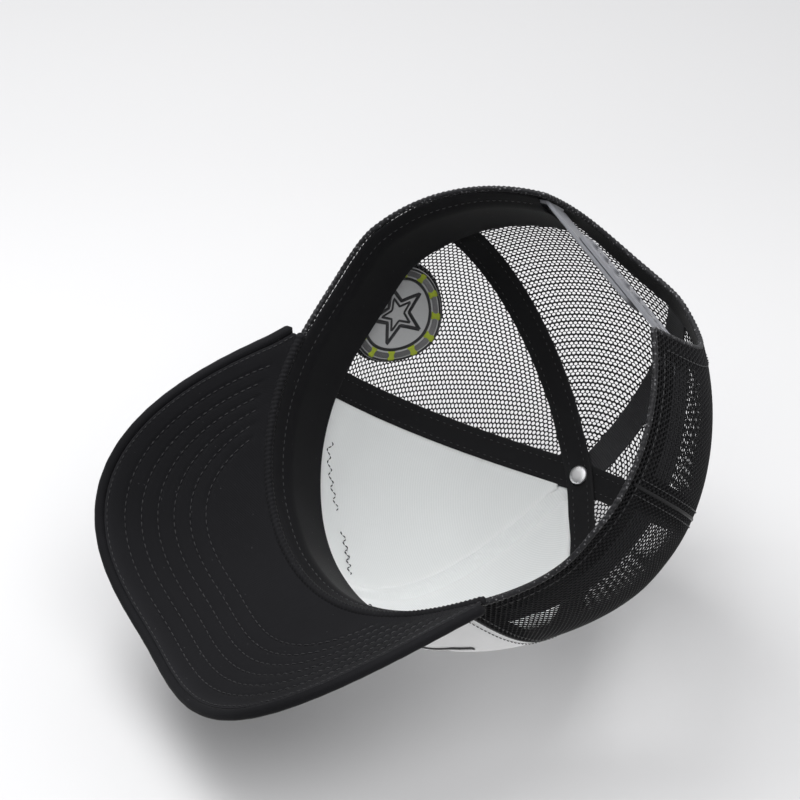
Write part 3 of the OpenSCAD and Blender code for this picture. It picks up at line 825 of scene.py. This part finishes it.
def seam_path(f0, f1, start):
    """The line over the crown from one seam to the seam opposite, and its up directions."""
    legs = []
    for f in (f0, f1):
        s = np.linspace(s_at(f, start), 0.995, 120)
        legs.append((*crown_line(f, s), s))
    path, up, height = (np.concatenate([a, b[::-1]]) for a, b in zip(*legs))
    path, up, _ = resampled(path, up, 1.0)
    for _ in range(12):
        up[1:-1] = unit(up[:-2] + up[1:-1] + up[2:])
        path[1:-1] = (path[:-2] + 2 * path[1:-1] + path[2:]) / 4
    height = np.interp(np.linspace(0, 1, len(path)), np.linspace(0, 1, len(height)), height)
    return path, up, height


stitch_lines = []
for f0, f1, over, word in ((FRONT_SEAM, -BACK_SEAM, 0, "left_front"),
                           (BACK_SEAM, -FRONT_SEAM, TAPE_OVER, "right_front")):
    path, up, height = seam_path(f0, f1, HEM_HEIGHT + 1)
    lift = over * ease((height - 0.78) / 0.12)
    tape = strip(f"seam_tape_{word}_cloth", path, up, TAPE_HALF, TAPE_DEPTH + lift,
                 LAYER_GAP + lift, "tape", crease=0.1)
    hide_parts(f"seam_tape_{word}")
    for offset in (-3.6, 3.6):
        stitch_lines.append(edge_rows(path, up, offset, TAPE_DEPTH + lift + 0.2))
s = np.linspace(s_at(180.0, ARCH_HEIGHT + BINDING_WIDTH), 0.985, 60)
path, up, _ = resampled(*crown_line(180.0, s), 1.0)
tape = strip("seam_tape_back_cloth", path, up, TAPE_HALF, TAPE_DEPTH - 0.25, LAYER_GAP - 0.15,
             "ribbed_tape")
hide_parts("seam_tape_back")
dashes("tape_stitching", stitch_lines, "thread", 3.2, 0.35, 0.2, 0.05)


def ridge_section(at):
    """A low hump over the folded seam, rippled by its overlock stitches."""
    across = np.linspace(1, -1, 17)[None]
    ripple = 1 + 0.07 * np.cos(2 * np.pi * at / 1.9 + 2 * across)
    taper = ease((at + 2) / 9) * (1 - 0.8 * ease((at - at[-1] + 14) / 9))
    hump = (np.cos(np.pi * across) + 1) / 2
    rise = -LINING_DEPTH + 0.35 - (RIDGE_DEPTH - LINING_DEPTH) * taper * ripple * hump
    rise = rise + 2.4 * ease((at - at[-1] + 9) / 7)
    upper = np.stack([RIDGE_WIDE * across + 0 * at, rise], -1)
    back = upper[:, :1] * [0.6, 1] + [0, 1]
    return np.concatenate([upper, back * [-1, 1], back], 1)


s = np.linspace(s_at(0.0, BAND_HEIGHT - 4), TOP_END, 90)
ridge = sweep("center_ridge_cloth", *crown_line(0.0, s), ridge_section, 0.35, "lining")
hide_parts("center_seam_ridge")

# ---- rear arch: binding and folded edge -----------------------------------------------------
wide = steps_to(BINDING_WIDTH + 0.6, 0.8, 0.6)
f, s = arch_place(*np.meshgrid(np.linspace(0, 180, 181), wide - 0.6))
binding = crown_layer("arch_binding_cloth", f, s, -TAPE_DEPTH, -LAYER_GAP, 0.6, "tape",
                      sides=(0, 1), uneven=0.1, seed=7)
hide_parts("opening_binding")

legs = np.linspace(VISOR_END - 2, 180 - ARCH_HALF, 120)
f_a, s_a = arch_place(np.linspace(0, 180, 160), 0.0)
edge_f = np.concatenate([legs, f_a[1:-1], -legs[::-1]])
edge_s = np.concatenate([np.zeros(120), s_a[1:-1], np.zeros(120)])
sweep("mesh_edge_fold", *crown_line(edge_f, edge_s, -0.35),
      round_section(1.15, 10, bump=0.13, pitch=2.4), 0.5, "folded_yarn")

# ---- sweatband ------------------------------------------------------------------------------
band_turn = 178 - ARCH_HALF
h = 0.4 + steps_to(BAND_HEIGHT - 0.4, 1.1, 0.9)
f, h = np.meshgrid(steps_to(2 * band_turn, 0.6, 0.5) - band_turn, h)
s = s_at(f, h)
tuck = ease((h + 1.5) / 12) ** 0.8
mid_depth = -mix(1.3, (BAND_INNER + BAND_OUTER) / 2, tuck) + 0.28 * np.exp(-((h - 5) / 0.7) ** 2)
mid_depth = mid_depth + waves(f, s, 0.3, 9) * tuck
middle = skin(f, s, mid_depth)
reach = from_edges(flat_pattern(middle))
band = layered("sweatband_cloth", f, s, mid_depth, 0.46 * rounded(reach, 0.8), reach, 1.2, "twill")
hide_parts("sweatband")
declare_grid(middle)
f = np.linspace(-band_turn + 1, band_turn - 1, 500)
s = s_at(f, 5.0)
depth = -mix(1.3, (BAND_INNER + BAND_OUTER) / 2, ease(6.5 / 12) ** 0.8) - 0.2 + waves(f, s, 0.3, 9)
dashes("sweatband_stitching", [crown_line(f, s, depth, -1)], "thread", 3.0, 0.7, 0.22, 0.1)
f, h = np.meshgrid(np.linspace(-band_turn + 1, band_turn - 1, 220), np.linspace(10, 32.5, 12))
stiffener = crown_layer("interlining_cloth", f, s_at(f, h), -4.6, -3.6, 0.6, "interlining")
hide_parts("sweatband_interlining")

# ---- visor ----------------------------------------------------------------------------------
def visor_grid(root_grow, inset, columns=190, rows=92):
    t = np.linspace(-0.985, 0.985, columns)
    inner, outer = visor_root(t, root_grow), visor_inset(t, inset)
    return t, mix(inner[None], outer[None], np.linspace(0, 1, rows)[:, None, None])


def quilted(p, t):
    """Depth of the channels that the rows of stitching press into a cover."""
    gap = np.linalg.norm(visor_outline(t)[None] - p, axis=-1)
    depth = 0
    for row in range(1, STITCH_ROWS + 1):
        d = COVER_INSET + row * STITCH_PITCH
        there = ease((visor_depth(t) - d - 1) / 3)[None]
        arc = along(visor_inset(t, d))[None]
        pucker = 1 + 0.35 * np.sin(arc * 2 * np.pi / 3.1 + row)
        depth = depth + 0.3 * there * pucker * np.exp(-((gap - d) / 0.8) ** 2)
    return depth


for word, sign, grow in (("top", 1, 0.9), ("under", -1, 0.2)):
    t, p = visor_grid(grow, COVER_INSET - 1.2)
    channel = quilted(p, t)
    puff = 0.15 * np.sin(p[..., 0] / 9 + 1) * np.sin(p[..., 1] / 7)
    outer = on_visor(p, sign * (COVER_OUT + puff - channel))
    inner = on_visor(p, sign * 1.15)
    pair = (outer, inner) if sign > 0 else (inner, outer)
    gap = np.linalg.norm(visor_outline(t)[None] - p, axis=-1)
    cover = shell(f"visor_{word}_cloth", *pair, "visor_twill", np.exp(-(gap - COVER_INSET) / 1.5))
    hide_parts(f"visor_{word}_cover")
    declare_grid(outer)
    rows = []
    for row in range(1, STITCH_ROWS + 1):
        d = COVER_INSET + row * STITCH_PITCH
        span = spread[visor_depth(spread) > d + 2].max()
        rows.append(visor_line(visor_inset(np.linspace(-span, span, 400), d), sign,
                               COVER_OUT - 0.12))
    stitching = dashes(f"visor_{word}_stitching", rows, "thread", 3.1, 0.72, 0.24, 0.12)
    if sign < 0:
        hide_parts("visor_stitching")

t = np.linspace(-1, 1, 300)
edge = sweep("visor_rolled_edge", *visor_line(visor_inset(t, EDGE_RADIUS)),
             round_section(EDGE_RADIUS, 16, bump=0.015, pitch=9, twist=0), 1.2, "visor_twill")
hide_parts("visor_edge")
line = visor_inset(np.linspace(-0.99, 0.99, 400), COVER_INSET - 0.4)
dashes("visor_edge_stitching", [visor_line(line, face, 2.15) for face in (-1, 1)], "thread",
       2.6, 0.75, 0.2, 0.1)

f = np.linspace(-VISOR_END, VISOR_END, 240)
x, y = opening(f, -0.9)
path = np.stack([x, y, rim_z(f) - 1.2], -1)
bead = sweep("visor_seam_overlock", path, crown_normal(f, 0.0),
             round_section(1.85, 12, bump=0.1, pitch=2.0, twist=2), 0.35, "dark_thread")
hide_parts("visor_seam_bead")

# ---- button and rivet -----------------------------------------------------------------------
BUTTON_BASE = CROWN_HEIGHT + CLOTH + 0.4
RIVET_TOP = CROWN_HEIGHT - TAPE_DEPTH - 1.9 + LAYER_GAP - TAPE_SAG - 0.2
curve = np.linspace(0, 90, 12)
dome_profile = [(BUTTON_RADIUS * cosd(a) ** 0.9, 1.6 + 2.6 * sind(a)) for a in curve[1:-1]]
button = lathe("button_cloth", BUTTON_BASE,
               [(5.6, 0.5), (BUTTON_RADIUS - 0.5, 0.0), (BUTTON_RADIUS, 0.4), (BUTTON_RADIUS, 1.6),
                *dome_profile, (0.4, 4.2)], "yarn", wave=0.006)
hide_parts("button_cover")
dome_profile = [(RIVET_RADIUS * cosd(a) ** 0.6, -0.45 - 1.35 * sind(a)) for a in curve[:-1]]
rivet = lathe("rivet_head", RIVET_TOP,
              [(0.2, -1.8), *dome_profile[::-1], (RIVET_RADIUS + 0.05, -0.2),
               (RIVET_RADIUS - 0.2, 0.0), (SHANK_RADIUS, 0.0), (SHANK_RADIUS, 5.2)], "steel")
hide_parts("button_rivet")

# ---- snap strap -----------------------------------------------------------------------------
HINGE_BEARING = 180 - ARCH_HALF + 0.5
HINGE_DEPTH = 2 + STRAP_THICK / 2
hinge = skin(HINGE_BEARING, s_at(HINGE_BEARING, STRAP_HEIGHT + STRAP_WIDTH / 2), -HINGE_DEPTH)
STRAP_STEP = STRAP_THICK / 2 + 0.2
FIRST_SNAP = PEGS * SNAP_PITCH / 2 - 6


def on_strap(x, z, lift, outward, half):
    """A point of the strap: half is -1 for the half with pegs and 1 for the half with holes."""
    y = hinge[1] + half * STRAP_STEP + outward * (STRAP_THICK / 2 + lift)
    return np.stack(np.broadcast_arrays(np.asarray(x, float), y, hinge[2] + np.asarray(z)), -1)


def strap_details(word, body, half, outward, snaps, tip, ring):
    """A raised rail round one face of a strap half, and a rim round each snap."""
    inset = 1.1
    high = STRAP_WIDTH / 2 - inset
    turn = np.radians(np.linspace(90, 270, 30))
    toward = -half
    round_x = tip + toward * (STRAP_WIDTH / 2) + toward * high * np.cos(turn)
    root = toward * (hinge[0] - 0.8)
    x = np.concatenate([np.linspace(root, round_x[0], 30)[:-1], round_x,
                        np.linspace(round_x[-1], root, 30)[1:]])
    z = np.concatenate([np.full(29, high), high * np.sin(turn), np.full(29, -high)])
    path = on_strap(x, z, 0.02, outward, half)
    up = np.tile(np.array([0.0, outward, 0.0]), (len(path), 1))
    sweep(f"strap_rail_{word}", path, up, round_section(0.42, 8), 0.8, "smoke", body)
    around = np.linspace(0, 2 * np.pi, 32, endpoint=False)
    points, faces = [], []
    profile = [(ring - 0.7, 0.0), (ring - 0.55, 0.2), (ring - 0.2, 0.34), (ring + 0.15, 0.25),
               (ring + 0.3, 0.0), (ring - 0.2, -0.1)]
    for n, snap in enumerate(snaps):
        for r, lift in profile:
            points.append(on_strap(snap + r * 1.12 * np.cos(around), r * np.sin(around), lift,
                                   outward, half))
        faces += tube_faces(len(profile), 32, n * len(profile) * 32, capped=False)
    add_mesh(f"snap_rims_{word}", np.concatenate(points), faces, "smoke", body=body)


peg_x = FIRST_SNAP - SNAP_PITCH * np.arange(PEGS)
hole_x = FIRST_SNAP - SNAP_PITCH * np.arange(HOLES)
strap_details("pegs", "peg_strap", -1, -1, peg_x, peg_x[-1] - 5, 2.9)
strap_details("holes", "hole_strap", 1, 1, hole_x, hole_x[0] + 6, 3.1)
# Each peg's hollow takes the darker copy of the strap plastic, painted shade inside the hollow.
for n, x in enumerate(peg_x):
    turn = np.linspace(0, 2 * np.pi, 24, endpoint=False)
    rows = [on_strap(x + r * 1.12 * np.cos(turn), r * np.sin(turn), lift, -1, -1)
            for r, lift in ((PEG_RADIUS, 0.02), (1.75, 0.14), (1.2, 0.08), (0.3, 0.05),
                            (0.3, -0.1), (PEG_RADIUS, -0.1))]
    faces = tube_faces(len(rows), len(turn), capped=False)
    add_mesh(f"peg_hollow_{n + 1}", np.concatenate(rows), faces, "painted_shade_smoke", body="peg_strap")

# ---- side patch -----------------------------------------------------------------------------
patch_turn = float(turn_at(float(PATCH_BEARING), s_at(float(PATCH_BEARING), PATCH_HEIGHT)))


def on_patch(u, v, out):
    """A point of the patch, u to the rear and v up from its middle."""
    f = PATCH_BEARING + np.asarray(u, float) / patch_turn
    return skin(f, s_at(f, PATCH_HEIGHT + np.asarray(v, float)), out)


def disc(name, radius, inner, outer, material, soft):
    """A round layer of cloth on the patch's place."""
    a, b = np.meshgrid(np.linspace(-1, 1, 61), np.linspace(-1, 1, 61))
    u, v = radius * a * np.sqrt(1 - b * b / 2), radius * b * np.sqrt(1 - a * a / 2)
    reach = radius - np.hypot(u, v)
    half = (outer - inner) / 2 * rounded(reach, soft)
    mid = (inner + outer) / 2
    made = shell(name, on_patch(u, v, mid + half), on_patch(u, v, mid - half), material,
                 np.exp(-reach / 1.5))
    return made


def drawn(name, line, width, inner, outer, material, closed=False):
    """Satin stitches along a line of (u, v) on the patch."""
    line = np.asarray(line, float)
    if closed:
        line = np.concatenate([line, line[:1]])
    d = along(line)
    at = np.linspace(0, d[-1], max(6, round(d[-1] / 0.8)))
    u, v = np.interp(at, d, line[:, 0]), np.interp(at, d, line[:, 1])
    way = unit(np.stack([np.gradient(u), np.gradient(v)], -1))
    across = np.array([-1, -0.9, -0.5, 0, 0.5, 0.9, 1]) * width / 2
    gu, gv = u[:, None] - way[:, 1:] * across, v[:, None] + way[:, :1] * across
    reach = np.broadcast_to(width / 2 - np.abs(across), gu.shape)
    half = (outer - inner) / 2 * rounded(reach, width / 2)
    mid = (inner + outer) / 2
    return shell(name, on_patch(gu, gv, mid + half), on_patch(gu, gv, mid - half), material)


def circle(radius, count=120):
    a = np.radians(np.linspace(0, 360, count))
    return np.stack([radius * np.cos(a), radius * np.sin(a)], -1)


def star(outer_radius, inner_radius, points=5):
    a = np.radians(90 + 180 / points * np.arange(2 * points))
    r = np.where(np.arange(2 * points) % 2 == 0, outer_radius, inner_radius)
    return np.stack([r * np.cos(a), r * np.sin(a)], -1)


face = disc("patch_face", PATCH_RADIUS - 0.6, CLOTH + 0.5, CLOTH + 1.5, "patch", 0.7)
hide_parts("side_patch")
back = disc("patch_backing_cloth", PATCH_RADIUS - 1, -LAYER_GAP - 0.8, -LAYER_GAP, "backing", 0.5)
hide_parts("patch_backing")
rim = circle(PATCH_RADIUS - 1.1, count=200)
sweep("patch_border", on_patch(rim[:, 0], rim[:, 1], CLOTH + 1.0),
      crown_normal(PATCH_BEARING + rim[:, 0] / patch_turn, 0.4),
      round_section(1.2, 10, bump=0.08), 0.4, "satin")
for word, low, high in (("face", CLOTH + 1.3, CLOTH + 1.95), ("back", -1.6, -1.15)):
    drawn(f"patch_ring_{word}", circle(17.2), 1.4, low, high, "satin")
    drawn(f"patch_band_{word}", circle(20.0), 2.6, low, high - 0.12, "grey_satin")
    if word == "back":
        drawn("patch_rim_back", circle(22.3), 1.0, low, high, "satin")
    for k in range(12):
        tick = np.array([cosd(30 * k), sind(30 * k)])
        drawn(f"patch_tick_{word}_{k + 1}", [tick * 18.0, tick * 22.4], 3.6, low - 0.1, high + 0.1,
              "green_thread")
    drawn(f"patch_star_{word}", star(14.5, 6.2), 1.7, low, high, "satin", True)
    drawn(f"patch_star_core_{word}", star(8.4, 3.6), 1.1, low, high, "satin", True)

# ---- front embroidery -----------------------------------------------------------------------
def hills(f):
    return 40 + 14 * np.abs(sind(4 * f)) * (1 - np.abs(f) / 90)


f, w = np.meshgrid(np.linspace(-50, 50, 260), np.array([0, 0.25, 0.9, 1.5, 2.1, 2.75, 3]))
half = 0.45 * rounded(np.minimum(w, 3 - w), 1.3)
s = s_at(f, hills(f) + w)
hill_band = shell("hill_embroidery", skin(f, s, CLOTH + 0.45 + half),
                  skin(f, s, CLOTH + 0.45 - half), "satin")
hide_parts("front_embroidery")
rows = []
chance = np.random.default_rng(4)
for low, high in ((-49, -31), (-27, -6), (7, 24), (29, 48)):
    f = np.linspace(low, high, 90)
    loose = hills(f) + 1.5 + 1.3 * np.sin(f * 1.9 + chance.uniform(0, 6))
    rows.append(crown_line(f, s_at(f, loose), -LINING_DEPTH - 0.12, -1))
dashes("lining_thread_ends", rows, "thread", 2.4, 0.85, 0.3, 0.12)

# ---- stitching outside ----------------------------------------------------------------------
def seam_rows(f, start, out):
    rows = []
    for offset in (-3.2, 3.2):
        s = np.linspace(start, 0.955, 160)
        rows.append(crown_line(f + offset / turn_at(f, s), s, out))
    return rows


thread_out = CLOTH + 0.05
black_rows = []
for f in (FRONT_SEAM, -FRONT_SEAM, BACK_SEAM, -BACK_SEAM):
    black_rows += seam_rows(f, 0.02, thread_out)
black_rows += seam_rows(180.0, s_at(180.0, ARCH_HEIGHT + 3), thread_out)
black_rows.append(crown_line(*arch_place(np.linspace(2, 178, 200), 7.0), thread_out))
for side in (1, -1):
    f = side * np.linspace(VISOR_END, 180 - ARCH_HALF - 5, 200)
    black_rows.append(crown_line(f, s_at(f, 4.5), thread_out))
dashes("outside_stitching", black_rows, "thread", 3.0, 0.72, 0.24, 0.12)
dashes("front_seam_stitching", seam_rows(0.0, 0.03, CLOTH + 0.12), "pale_thread", 3.0, 0.72,
       0.2, 0.1)
folds = [(f"{kind}_{word}", side * seam, 0.01, 160) for side, word in SIDES
         for seam, kind in ((FRONT_SEAM, "front"), (BACK_SEAM, "back"))]
folds.append(("rear", 180, s_at(180.0, ARCH_HEIGHT + 0.5), 60))
for word, f, start, count in folds:
    sweep(f"seam_fold_{word}", *crown_line(f, np.linspace(start, SEAM_END, count), 0.55),
          round_section(0.75, 8, 0.7, bump=0.08, pitch=MESH_PITCH), 0.8, "yarn")

for name, material in (("visor_board", "board"), ("button_shell", "tin"),
                       ("strap_tab_left", "smoke"), ("strap_tab_right", "smoke"),
                       ("snap_strap_pegs", "smoke"), ("snap_strap_holes", "smoke")):
    finish_node(name, material)

# ---- camera, floor and light ----------------------------------------------------------------
EYE = Vector((-0.555, 0.069, -0.816))
LOOK = Vector((0.5645, -0.0550, 0.8236)).normalized()
IMAGE_UP = Vector((0.674, 0.6067, -0.4215)).normalized()
LENS = 112.2
TABLE_TURN = math.radians(37)   # how steeply the camera looks down at the table
TABLE_GAP, FLOOR_GAP = 0.004, 0.0005   # metres between the cap and what it lies on
WHITE, GREY = (0.93, 0.93, 0.945, 1), (0.74, 0.74, 0.73, 1)


def turned(back, up):
    """A rotation whose Z is back and whose Y is as near up as it can be."""
    z = back.normalized()
    x = up.cross(z).normalized()
    return Matrix((x, z.cross(x), z)).transposed()


camera = linked("camera", bpy.data.cameras.new("camera"))
camera.location = EYE
camera.rotation_mode = "QUATERNION"
camera.rotation_quaternion = turned(-LOOK, IMAGE_UP).to_quaternion()
camera.data.lens, camera.data.sensor_width = LENS, 36
camera.data.clip_start, camera.data.clip_end = 0.01, 50
bpy.context.scene.camera = camera


def softbox(name, toward, distance, size, power):
    """A square lamp that looks at the middle of the cap, from a direction and a distance."""
    lamp = bpy.data.lights.new(name, "AREA")
    lamp.shape, lamp.size, lamp.energy = "SQUARE", size, power
    direction = toward.normalized()
    linked(name, lamp, (cad_low + cad_high) / 2 + direction * distance, direction)


def pale_floor(name, middle, normal, size, fade, tones, bounces=True):
    """A matt one-sided surface: from behind, or past its faded edge, nothing of it shows.
    Unless it bounces, it throws no light on the rest."""
    me = bpy.data.meshes.new(name)
    corners = [(x * size / 2, y * size / 2, 0) for x, y in ((-1, -1), (1, -1), (1, 1), (-1, 1))]
    me.from_pydata(corners, [], [(0, 1, 2, 3)])
    obj = linked(name, me, middle, normal)
    obj.visible_shadow = False
    obj.visible_diffuse = obj.visible_glossy = bounces
    made, tree = new_material(name)
    where = node(tree, "NewGeometry").outputs["Position"]
    up = node(tree, "VectorMath", {0: where, 1: tuple(IMAGE_UP)}, operation="DOT_PRODUCT")
    # The tones change along IMAGE_UP: on the table this is a painted falloff of light across the
    # backdrop; the floor's three tones are equal.
    low, middle_tone, high = ((t, t, t * 1.01, 1) for t in tones)
    colour = blend_colour(tree, grade(tree, up.outputs["Value"], -0.17, -0.02), low, middle_tone)
    colour = blend_colour(tree, grade(tree, up.outputs["Value"], 0.03, 0.17), colour, high)
    matt = node(tree, "BsdfDiffuse", {0: colour}).outputs[0]
    clear = node(tree, "BsdfTransparent").outputs[0]
    at = node(tree, "TexCoord").outputs["Object"]
    away = node(tree, "VectorMath", {0: at}, operation="LENGTH").outputs["Value"]
    gone = grade(tree, away, fade * 0.55, fade)
    behind = node(tree, "NewGeometry").outputs["Backfacing"]
    unseen = calc(tree, "MAXIMUM", gone, behind)
    mixed = node(tree, "MixShader", {0: unseen, 1: matt, 2: clear}).outputs[0]
    me.materials.append(ended(made, mixed))
    obj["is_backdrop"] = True


pale_floor("floor", Vector((0, 0, cad_low.z - FLOOR_GAP)), Vector((0, 0, 1)), 6, 2.6,
           (0.8, 0.8, 0.8))
table_up = IMAGE_UP * math.cos(TABLE_TURN) - LOOK * math.sin(TABLE_TURN)
cap_points = (crown(np.linspace(-180, 180, 121)[:, None], np.linspace(0, 1, 60)),
              on_visor(visor_outline(np.linspace(-1, 1, 300)), 0.0))
lowest = min(float((place(points) @ np.array(table_up)).min()) for points in cap_points)
# The table's three tones set its brightness from bottom to top along IMAGE_UP: painted light.
pale_floor("table", table_up * (lowest - TABLE_GAP), table_up, 2.6, 1.2, (0.52, 0.53, 0.5),
           bounces=False)

world = bpy.data.worlds.new("studio")
bpy.context.scene.world = world
world.use_nodes = True
tree = world.node_tree
tree.nodes.clear()
direction = node(tree, "TexCoord").outputs["Generated"]
height = node(tree, "VectorMath", {0: direction, 1: tuple(IMAGE_UP)}, operation="DOT_PRODUCT")
share = grade(tree, height.outputs["Value"], -0.2, 0.12)
sky = node(tree, "Background", {0: blend_colour(tree, share, GREY, WHITE), 1: 0.8}).outputs[0]
tree.links.new(sky, node(tree, "OutputWorld").inputs[0])
bpy.context.scene.view_settings.view_transform = "Standard"

image_right = LOOK.cross(IMAGE_UP)
softbox("key", IMAGE_UP * 0.42 - LOOK * 0.9 + image_right * 0.12, 1.25, 0.9, 12)
softbox("overhead", IMAGE_UP * 0.9 - LOOK * 0.35 - image_right * 0.3, 1.1, 0.7, 12)
softbox("top", Vector((0.2, -0.3, 1)), 1.2, 0.9, 6)

low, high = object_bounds()
